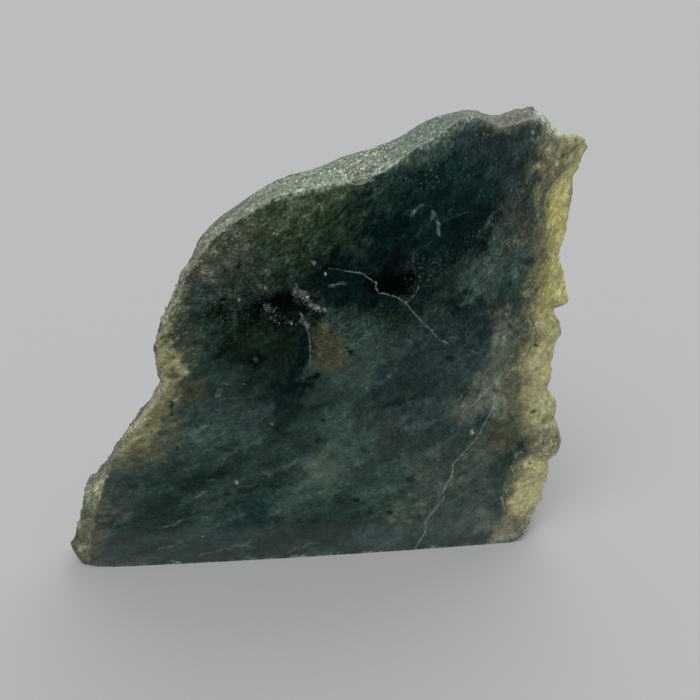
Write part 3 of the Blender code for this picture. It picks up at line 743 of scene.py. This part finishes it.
def tintLeftEdge(colour):          # the face's left edge: dull over the foot, and a painted glow in the bulge where light shows through
    overFoot = touching * fade(*tints["footHeight"], z) * fade(*tints["footAlong"], x)
    overFoot = overFoot * fade(*tints["footReach"], fromEdge + 1.5 * bend[4] + 1.5 * bend[2])
    colour = blend(colour, "footMauve", 0.85 * overFoot)
    bulge = fade(*tints["leftReach"], fromEdge) * fade(*tints["leftAlong"], x) * band(*tints["leftHeight"], z)
    return blend(colour, "glowStraw", 0.5 * bulge)


def drawMarks(colour):             # streaks taper to their ends
    ragged = 0.85 + 1.2 * bend[6]
    for start, end, halfWidth, name, strength in streaks:
        gap, side, t = alongSegment(x + bend[4], z + bend[5], start, end)
        reach = halfWidth * (band(0, 0.25, 0.75, 1, t) * 0.6 + 0.4)
        weight = np.clip(strength * ragged, 0, 1) * touching * fade(0.5 * reach, 1.15 * reach, gap)
        colour = blend(colour, name, weight)
    for spot in spots:
        weight = blobWeight(x + 0.6 * bend[4], z + 0.6 * bend[5], spot, 0.35) * (y < 9)
        colour = blend(colour, spot[5], spot[6] * weight)
    return colour


def tintCrest(colour):
    pale = crest * broken * smooth(*tints["crestStart"], x + 5 * bend[2]) * (1 - 0.9 * chipped)
    colour = blend(colour, "rimPale", 0.95 * pale)
    colour = blend(colour, "rimTeal", 0.85 * pale * fade(*tints["tealEnd"], x + 2 * bend[2] + bend[4]))
    colour = blend(colour, "rimTeal", 0.8 * pale * smooth(*tints["tealAgain"], crestAlong))
    colour = blend(colour, "rimKhaki", 0.9 * pale * smooth(*tints["khakiCrest"], crestAlong))
    colour = blend(colour, "khaki", 0.5 * crest * broken * smooth(*tints["khakiEnd"], crestAlong))
    return blend(colour, "khaki", 0.9 * chipped * broken)


# the left rim: khaki and olive, with painted light on its lit parts and a painted glow where light shows
# through
def tintLeftRim(colour):
    leftRim = broken * fade(*tints["leftRim"], x) * fade(*tints["leftRimDepth"], y)
    colour = blend(colour, "khaki", 0.8 * leftRim)
    colour = blend(colour, "footOlive", 0.85 * leftRim * fade(*tints["oliveFoot"], z + 3 * bend[2]))
    colour = blend(colour, "taupe", 0.5 * leftRim * band(*tints["taupeBand"], z))
    lit = smooth(*tints["lit"], z) * (1 - 0.55 * smooth(*tints["litLess"], z))
    lit = lit * (1 - 0.6 * band(*tints["litDip"], z)) * smooth(*tints["litPatches"], bend[4] + bend[6])
    colour = blend(colour, "rimLight", 0.75 * leftRim * lit)
    return blend(colour, "glowStraw", 0.8 * leftRim * band(*tints["warm"], z))


def tintFacets(colour):            # single facets of the rim, among them painted lit and painted shaded ones, and the pale fringe of the polished face's edge, a painted highlight
    for cx, cy, cz, radius, name, strength in rimFacets:
        far = np.sqrt((x - cx) ** 2 + (0.4 * (y - cy)) ** 2 + (z - cz) ** 2) + 0.8 * bend[4]
        colour = blend(colour, name, strength * broken * fade(0.85 * radius, 1.1 * radius, far))
    fringe = 0.4 + 1.5 * band(*tints["fringeWide"], x)
    highlightLine = fade(0.2 * fringe, fringe, fromEdge) * smooth(*tints["fringeHeight"], z)
    highlightLine = highlightLine * fade(*tints["fringeEnd"], x) * smooth(*tints["fringePatches"], bend[4] + bend[6])
    return blend(colour, "fringeHighlight", 0.62 * highlightLine * (1 - chipped))


def tintBack(colour):              # grey-green stone with brown and dark stains
    colour = blend(colour, "backStone", 0.8 * behind)
    brown = smooth(*tints["backPatches"], bend[0] + 0.4 * bend[3] + 0.3 * bend[6])
    colour = blend(colour, "backBrown", 0.6 * behind * brown)
    dark = smooth(*tints["backPatches"], bend[1] + 0.4 * bend[2] + 0.3 * bend[7])
    return blend(colour, "backDark", 0.7 * behind * dark)


def hairField(wanted):             # a group's nearest hair: signed distance, half width, strength and tint
    near, signed = np.full(len(places), 9.0), np.full(len(places), 9.0)
    width, strong = np.full(len(places), 0.1), np.zeros(len(places))
    tint = np.tile(linear(*hairColours["crackPale"]), (len(places), 1))
    for group, halfWidth, colourName, strength, depth, points in hairs.values():
        if group != wanted:
            continue
        for number, (start, end) in enumerate(zip(points, points[1:])):
            gap, side, t = alongSegment(x, z, start, end)
            closer = gap < near
            atEnd = ((t <= 0) & (number == 0)) | ((t >= 1) & (number == len(points) - 2))
            near = np.where(closer, gap, near)
            signed = np.where(closer, gap * side, signed)
            width = np.where(closer, halfWidth, width)
            strong = np.where(closer, strength * ~atEnd * (gap < 1.4), strong)
            tint[closer] = linear(*hairColours[colourName])
    return np.column_stack([signed, width, strong * facing]), tint


print("stone: laying the colours in")
bend = [cloudNoise(layered, *settings) for settings in tints["bendNoises"]]
veils = [cloudNoise(layered, size, 2.2, seed) + 0.6 * cloudNoise(layered, 0.4 * size, 1.6, seed + 20)
         for size, seed in tints["veilNoises"]]
broken = 1 - touching.astype(float)
chipped = blobWeight(x, z, tints["chip"], 0.15) * (y < 4)
crestAlong = x + 10 * bend[0] + 6 * bend[2] + 4 * bend[4]      # so that no tint stops along a straight line
behind = smooth(*tints["behind"], y + 6 * bend[2] + 3 * bend[1]) * (1 - crest)
tintReach = np.interp(x, tints["faceTintAlong"], tints["faceTintReach"]) * smooth(*tints["faceTintHeight"], z)
edgeTint = fade(0.35 * tintReach, tintReach + 0.01, fromEdge + 1.6 * bend[6] + 1.2 * bend[4]) * touching
farTint = fade(tintReach, 2.4 * tintReach + 0.01, fromEdge + 2.0 * bend[4] + 2.0 * bend[2]) * touching
heights, starts, fulls, levels = np.array(glowRows).T
glowStart, glowFull = np.interp(z, heights, starts), np.interp(z, heights, fulls)
glowLevel = np.interp(z + 1.5 * bend[3], heights, levels)
glow = (x + 2.0 * bend[2] + 1.6 * bend[4] - glowStart) / (glowFull - glowStart)
front = fade(*tints["lightDepth"], y + 6 * bend[2] + 3 * bend[1])

colour = np.tile(linear(*stoneColours["ground"]), (len(places), 1))
for layTint in (layClouds, tintFaceEdge, letLightThrough, tintLeftEdge, drawMarks,
                tintCrest, tintLeftRim, tintFacets, tintBack):
    colour = layTint(colour)

mesh = bpy.data.meshes.new("labradoriteStone")
for face in bm.faces:
    face.smooth = True
    face.material_index = 0
bm.to_mesh(mesh)
bm.free()


def pointValue(name, values):
    mesh.attributes.new(name, "FLOAT", "POINT").data.foreach_set("value", values.astype(np.float32))


def pointVector(name, values):
    vectors = values.astype(np.float32).ravel()
    mesh.attributes.new(name, "FLOAT_VECTOR", "POINT").data.foreach_set("vector", vectors)


def pointColour(name, values):
    opaque = np.column_stack([values, np.ones(len(values))]).astype(np.float32).ravel()
    mesh.color_attributes.new(name, "FLOAT_COLOR", "POINT").data.foreach_set("color", opaque)


pointColour("stoneColour", colour)
pointVector("layers", layered)
pointValue("polish", np.maximum(touching * smooth(-0.2, 0.8, fromEdge), 0.75 * glassy))
pointValue("glow", smooth(0.2, 1.0, glow) * front * np.clip(glowLevel, 0, 1))
crestGrain = crest * np.interp(crestAlong, tints["grainAlong"], tints["grainLevel"])
pointValue("sugar", np.maximum(np.maximum(crestGrain, 0.3 * behind) * broken, 0.7 * edgeTint))
pointValue("rough", np.clip(broken + 0.8 * edgeTint, 0, 1))
pointValue("speckle", (0.2 + 0.8 * smooth(*tints["speckle"], z + 0.15 * x)) * touching)
crumbly = np.max([zone[5] * blobWeight(x + bend[4], z + bend[5], zone, 0.6) for zone in crumbZones], axis=0)
pointValue("crumbly", crumbly * (y < 12))
mossy = smooth(*tints["mossy"], z + 6 * bend[0]) * (1 - 0.55 * smooth(*tints["mossyLess"], x))
pointValue("streaky", 1 - mossy)
for group in "ab":
    field, tint = hairField(group)
    pointVector("hair_" + group, field)
    pointColour("hairTint_" + group, tint)

stone = bpy.data.objects.new("labradorite_stone", mesh)
bpy.context.scene.collection.objects.link(stone)

finish = {
    "polishedRoughness": 0.2,
    "brokenRoughness": 0.62,
    "ior": 1.56,
    "clouding": 2.4,              # how much the soft clouds change the colour, in doublings
    "grain": (4.4, 2.2),          # the fine grain, in the mossy part and in the streaky part
    "mottling": (3.6, 2.0),       # small mottles, in the same two parts
    "mosaic": (0.40, 0.22),       # the crystals' mosaic, in the same two parts
    "shaking": 0.12,              # how ragged the mosaic's cells are
    "glowMarbling": 0.4,          # how much of all that shows where light comes through
    "warmth": 0.045,              # how far the hue wanders between brown and blue
    "pits": 0.75,                 # how strong the dark pits are
    "pitColour": (6, 14, 9),
    "threads": 1.5,               # how much brighter the mossy part's pale squiggles are, in doublings
    "strands": 0.45,              # and the streaky part's long pale strands
    "feathers": (0.34, 0.45),     # light and dark lines where light comes through, in doublings
    "sugarContrast": (1.0, 3.0),  # grain on broken stone: plain, and on the crest
    # how strong the painted glints in the crest's grain are, and their colour
    "glint": 0.6,
    "glintColour": (170, 176, 150),
    "split": 0.7,                 # dark hairs in the broken stone
    "splitColour": (34, 38, 26),
    "crumbs": 1.4,
    "crumbColour": (166, 182, 172),
    "hairWander": 0.9,            # how far a hair strays from its line, mm
    "hairEdge": 0.08,             # how soft its edges are, mm
    "grainBump": 0.5,
    "bumpHeight": 0.0003,
}

# pattern: (scale along, into and across the layers, per mm, detail, roughness, shift)
patterns = {
    "bands": (0.11, 0.2, 0.28, 3, 0.6, 0),
    "billows": (0.20, 0.2, 0.26, 3, 0.7, 0),
    "fine": (1.3, 1.0, 1.5, 1.5, 0.8, 0),
    "coarse": (0.36, 0.5, 0.5, 2, 0.7, 0),
    "shake": (1.5, 1.5, 1.5, 3, 0.7, 0),
    "hue": (0.16, 0.2, 0.24, 4, 0.65, 0),
    "pits": (0.8, 0.8, 1.0, 4, 0.7, 0),
    "scattered": (0.22, 0.3, 0.3, 4, 0.85, 40),
    "squiggles": (0.5, 0.5, 0.6, 4, 0.6, 10),
    "parted": (0.07, 0.3, 0.3, 3, 0.7, 60),
    "strands": (0.07, 0.3, 0.3, 3, 0.6, 20),
    "lightFeathers": (0.25, 0.4, 0.8, 3, 0.6, 30),
    "darkFeathers": (0.22, 0.35, 0.6, 3, 0.6, 50),
    "grain": (1.5, 0.7, 1.5, 3, 0.9, 0),
    "glint": (1.7, 0.8, 1.7, 2, 0.6, 0),
    "splits": (0.35, 0.35, 0.5, 3, 0.6, 70),
    "clusters": (0.6, 0.6, 0.8, 2, 0.6, 0),
    "crumbs": (1.4, 1.4, 1.8, 4, 0.75, 0),
    "wander": (1.0, 1.0, 1.0, 3, 0.7, 0),
    "breaks": (1.0, 1.0, 1.0, 3, 0.85, 0),
}
cellScales = ((0.45, 0.6, 0.8), (1.1, 1.2, 1.9))         # the mosaic's large and small cells, per mm
patchLevels = {                   # the noise levels between which a pattern comes in
    "hue": (0.35, 0.65),
    "pits": (0.37, 0.29),
    "scattered": (0.50, 0.66),
    "parted": (0.50, 0.66),
    "glint": (0.60, 0.68),
    "clusters": (0.42, 0.60),
    "breaks": (0.36, 0.62),
}
lineWidths = {                    # how wide a line pattern's lines are, in noise levels
    "squiggles": 0.07,
    "strands": 0.08,
    "lightFeathers": 0.07,
    "darkFeathers": 0.035,
    "splits": 0.03,
}


class NodeMaker:
    def __init__(self, tree):
        self.tree = tree
        self.layers = self.attribute("layers", "Vector")

    def add(self, kind, inputs=None, **settings):
        node = self.tree.nodes.new(kind)
        for name, value in settings.items():
            setattr(node, name, value)
        for name, value in (inputs or {}).items():
            if isinstance(value, bpy.types.NodeSocket):
                self.tree.links.new(value, node.inputs[name])
            else:
                node.inputs[name].default_value = value
        return node

    def attribute(self, name, output="Fac"):
        return self.add("ShaderNodeAttribute", attribute_name=name).outputs[output]

    def math(self, operation, a, b=0.0, clamp=False):
        return self.add("ShaderNodeMath", {0: a, 1: b}, operation=operation, use_clamp=clamp).outputs[0]

    def times(self, a, b, clamp=False):
        return self.math("MULTIPLY", a, b, clamp)

    def plus(self, a, b):
        return self.math("ADD", a, b)

    def minus(self, a, b, clamp=False):
        return self.math("SUBTRACT", a, b, clamp)

    def mix(self, share, a, b, blend="MIX"):
        settings = {"data_type": "RGBA", "blend_type": blend}
        return self.add("ShaderNodeMix", {0: share, 6: a, 7: b}, **settings).outputs[2]

    def paint(self, share, colour, name):          # lays one of the finish's own colours over another
        return self.mix(share, colour, (*linear(*finish[name]), 1))

    def brighten(self, colour, doublings):
        factor = self.math("POWER", 2.0, doublings)
        grey = self.add("ShaderNodeCombineColor", {0: factor, 1: factor, 2: factor}).outputs[0]
        return self.mix(1.0, colour, grey, "MULTIPLY")

    def between(self, share, a, b):
        return self.add("ShaderNodeMix", {0: share, 2: a, 3: b}, data_type="FLOAT").outputs[0]

    def ramp(self, value, low, high, toLow=0.0, toHigh=1.0):
        return self.add("ShaderNodeMapRange", {0: value, 1: low, 2: high, 3: toLow, 4: toHigh}).outputs[0]

    def scaled(self, vector, scale, shift=0.0):
        inputs = {"Vector": vector, "Scale": scale, "Location": (shift, 0, shift)}
        return self.add("ShaderNodeMapping", inputs).outputs[0]

    def pattern(self, name, output=0):             # output 0 is one value, 1 is three
        *scale, detail, roughness, shift = patterns[name]
        inputs = {"Vector": self.scaled(self.layers, scale, shift), "Scale": 1.0, "Detail": detail,
                  "Roughness": roughness}
        return self.add("ShaderNodeTexNoise", inputs).outputs[output]

    def patches(self, name):
        return self.ramp(self.pattern(name), *patchLevels[name])

    def lines(self, name):                         # thin wandering lines, 1 along their middles
        width = lineWidths[name]
        return self.ramp(self.math("ABSOLUTE", self.minus(self.pattern(name), 0.5)), width, 0.2 * width)

    def cells(self, vector, scale):                # one value to each cell, from 0 to 1
        inputs = {"Vector": self.scaled(vector, scale), "Scale": 1.0}
        colour = self.add("ShaderNodeTexVoronoi", inputs).outputs["Color"]
        return self.add("ShaderNodeSeparateColor", {0: colour}).outputs[0]


def marbling(n, coloured, through, streaky):       # soft clouds, a crystalline mosaic and a fine grain
    soft = n.between(streaky, n.pattern("billows"), n.pattern("bands"))
    shaken = n.mix(finish["shaking"], n.layers, n.pattern("shake", output=1), "ADD")
    mosaic = n.plus(*[n.cells(shaken, scale) for scale in cellScales])
    doubling = n.times(n.minus(soft, 0.5), finish["clouding"])
    for part, middle, name in ((n.pattern("fine"), 0.5, "grain"), (n.pattern("coarse"), 0.5, "mottling"),
                               (mosaic, 1.0, "mosaic")):
        doubling = n.plus(doubling, n.times(n.minus(part, middle), n.between(streaky, *finish[name])))
    coloured = n.brighten(coloured, n.times(doubling, n.between(through, 1.0, finish["glowMarbling"])))
    warm, cool = 1 + finish["warmth"], 1 - finish["warmth"]
    return n.mix(1.0, coloured, n.mix(n.patches("hue"), (cool, 1, warm, 1), (warm, 1, cool, 1)), "MULTIPLY")


def pitsAndThreads(n, coloured, streaky):          # pale squiggles in the mossy part, strands in the streaky
    speckle = n.attribute("speckle")
    pits = n.times(n.patches("pits"), speckle)
    coloured = n.paint(n.times(pits, finish["pits"]), coloured, "pitColour")
    squiggles = n.times(n.lines("squiggles"), n.times(n.patches("scattered"), speckle))
    strands = n.times(n.lines("strands"), n.times(n.patches("parted"), streaky))
    threads = n.plus(n.times(squiggles, finish["threads"]), n.times(strands, finish["strands"]))
    return n.brighten(coloured, threads)


def feathers(n, coloured, through):                # light and dark lines where light comes through
    light, dark = finish["feathers"]
    feather = n.minus(n.times(n.lines("lightFeathers"), light), n.times(n.lines("darkFeathers"), dark))
    return n.brighten(coloured, n.times(feather, through))


def sugaryGrain(n, coloured, through, grain):      # the grain of broken stone is light and dark at once
    sugar = n.attribute("sugar")
    onPlain, onCrest = finish["sugarContrast"]
    plain = n.between(through, onPlain, 0.45 * onPlain)
    contrast = n.times(n.ramp(grain, 0.3, 0.7, -1, 1), n.between(sugar, plain, onCrest))
    sugary = n.brighten(coloured, contrast)
    # painted glints in the crest's grain
    sugary = n.paint(n.times(n.times(n.patches("glint"), sugar), finish["glint"]), sugary, "glintColour")
    split = n.times(n.lines("splits"), n.minus(n.between(through, 1.0, 0.35), sugar, clamp=True))
    sugary = n.paint(n.times(split, finish["split"]), sugary, "splitColour")
    return n.mix(n.attribute("rough"), coloured, sugary)


# white crumbs; at the tip and down the right edge they are painted glints
def whiteCrumbs(n, coloured):
    crumbly = n.attribute("crumbly")
    crumbs = n.plus(n.pattern("crumbs"), n.ramp(crumbly, 1.0, 1.7, 0.0, 0.16))
    crumbs = n.times(n.times(n.ramp(crumbs, 0.56, 0.67), n.patches("clusters")), crumbly)
    return n.paint(n.times(crumbs, finish["crumbs"], clamp=True), coloured, "crumbColour")


def hairlineCracks(n, coloured):                   # broken up along their length
    wander = n.times(n.minus(n.pattern("wander"), 0.5), finish["hairWander"])
    breaks = n.patches("breaks")
    for group in "ab":
        field = n.add("ShaderNodeSeparateXYZ", {0: n.attribute("hair_" + group, "Vector")}).outputs
        off = n.math("ABSOLUTE", n.plus(field[0], wander))
        inside = n.ramp(n.minus(off, field[1]), finish["hairEdge"], -finish["hairEdge"])
        share = n.times(n.times(inside, field[2]), breaks, clamp=True)
        coloured = n.mix(share, coloured, n.attribute("hairTint_" + group, "Color"))
    return coloured


def stoneFinish():
    material = bpy.data.materials.new("labradoriteStone")
    material.use_nodes = True
    material.node_tree.nodes.clear()
    n = NodeMaker(material.node_tree)
    through, streaky, polish = n.attribute("glow"), n.attribute("streaky"), n.attribute("polish")
    grain = n.pattern("grain")

    coloured = marbling(n, n.attribute("stoneColour", "Color"), through, streaky)
    coloured = pitsAndThreads(n, coloured, streaky)
    coloured = feathers(n, coloured, through)
    coloured = sugaryGrain(n, coloured, through, grain)
    coloured = whiteCrumbs(n, coloured)
    coloured = hairlineCracks(n, coloured)

    bumps = {"Height": n.times(grain, n.ramp(polish, 0, 1, 1.0, 0.03)), "Strength": finish["grainBump"],
             "Distance": finish["bumpHeight"]}
    surface = {"Base Color": coloured, "IOR": finish["ior"],
               "Roughness": n.ramp(polish, 0, 1, finish["brokenRoughness"], finish["polishedRoughness"]),
               "Normal": n.add("ShaderNodeBump", bumps).outputs[0]}
    shader = n.add("ShaderNodeBsdfPrincipled", surface)
    n.add("ShaderNodeOutputMaterial", {"Surface": shader.outputs[0]})
    return material


print("stone: giving it its finish")
mesh.materials.append(stoneFinish())
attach(stone, "root")
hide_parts(nodeName)

studio = {
    "airColour": (188, 189, 190),
    "floorSize": 60.0,                    # metres
    "frontLight": (0.60, 55, -25),        # strength, degrees up, degrees round from the front
    "backLight": (0.35, 50, 150),
    "lightAngle": 50,                     # how wide each light is seen from the stone, in degrees
    "cardNear": (-0.10, 0.09, -0.03),     # the dark card's near edge: left, right and y, in metres
    "cardFar": (-0.85, 0.75, -1.6),       # and its far edge, where it stands up
    "cardLift": 0.001,
    "cardTop": 1.5,
    "cameraHeight": 147.0,                # mm above the foot
    "cameraAside": 56.1,                  # mm right of the foot's left end
    "cameraAway": 195.4,                  # mm in front of the polished face
    "cameraDown": 22.4,                   # degrees
    "cameraTurn": 6.0,                    # degrees to the right of square-on
    "lens": 41.1,
}


def plainMesh(name, corners, faces):
    data = bpy.data.meshes.new(name)
    data.from_pydata(corners, [], faces)
    thing = bpy.data.objects.new(name, data)
    bpy.context.scene.collection.objects.link(thing)
    return thing


def mattFinish(name, colour):
    material = bpy.data.materials.new(name)
    material.use_nodes = True
    shader = material.node_tree.nodes["Principled BSDF"]
    shader.inputs["Base Color"].default_value = (*colour, 1)
    shader.inputs["Roughness"].default_value = 1.0
    shader.inputs["Specular IOR Level"].default_value = 0.0
    return material


def paleFloor():               # as bright as the air behind it, so no horizon shows
    half = studio["floorSize"] / 2
    corners = [(-half, -half, 0), (half, -half, 0), (half, half, 0), (-half, half, 0)]
    floor = plainMesh("studio_floor", corners, [(0, 1, 2, 3)])
    floor.location.z = cadLow.z - 0.05 * mm
    air = linear(*studio["airColour"])
    lit = sum(strength * math.sin(math.radians(up)) for strength, up, turn in
              (studio["frontLight"], studio["backLight"]))
    floor.data.materials.append(mattFinish("paleFloor", [part / (part + lit) for part in air]))


def darkCard():                # keeps what the polished face mirrors towards the camera dark
    lift, top = studio["cardLift"], studio["cardTop"]
    nearLeft, nearRight, near = studio["cardNear"]
    farLeft, farRight, far = studio["cardFar"]
    corners = [(nearLeft, near, lift), (nearRight, near, lift), (farRight, far, lift), (farLeft, far, lift),
               (farRight, far, top), (farLeft, far, top)]
    card = plainMesh("dark_card", corners, [(0, 1, 2, 3), (3, 2, 4, 5)])
    card.data.materials.append(mattFinish("blackCloth", (0.0, 0.0, 0.0)))
    card.visible_camera = False
    card.visible_diffuse = False
    card.visible_shadow = False
    card.visible_transmission = False


def softLight(name):
    strength, up, turn = studio[name]
    data = bpy.data.lights.new(name, "SUN")
    data.energy = strength * math.pi
    data.angle = math.radians(studio["lightAngle"])
    light = bpy.data.objects.new(name, data)
    bpy.context.scene.collection.objects.link(light)
    light.rotation_euler = (math.radians(90 - up), 0, math.radians(turn))


def frontCamera():
    data = bpy.data.cameras.new("camera")
    data.lens = studio["lens"]
    data.sensor_width = 36
    data.clip_start = 0.01
    camera = bpy.data.objects.new("camera", data)
    bpy.context.scene.collection.objects.link(camera)
    camera.location = inFrame(studio["cameraAside"], -studio["cameraAway"], studio["cameraHeight"])
    down, turn = math.radians(studio["cameraDown"]), math.radians(studio["cameraTurn"])
    camera.rotation_euler = (math.radians(90) - down, 0, -turn)
    bpy.context.scene.camera = camera


def paleAir():
    world = bpy.data.worlds.new("studioAir")
    world.use_nodes = True
    background = world.node_tree.nodes["Background"]
    background.inputs["Color"].default_value = (*linear(*studio["airColour"]), 1)
    background.inputs["Strength"].default_value = 1.0
    bpy.context.scene.world = world


paleFloor()
darkCard()
frontCamera()
softLight("frontLight")
softLight("backLight")
paleAir()
bpy.context.scene.view_settings.view_transform = "Standard"
print("studio: floor, light and camera set")
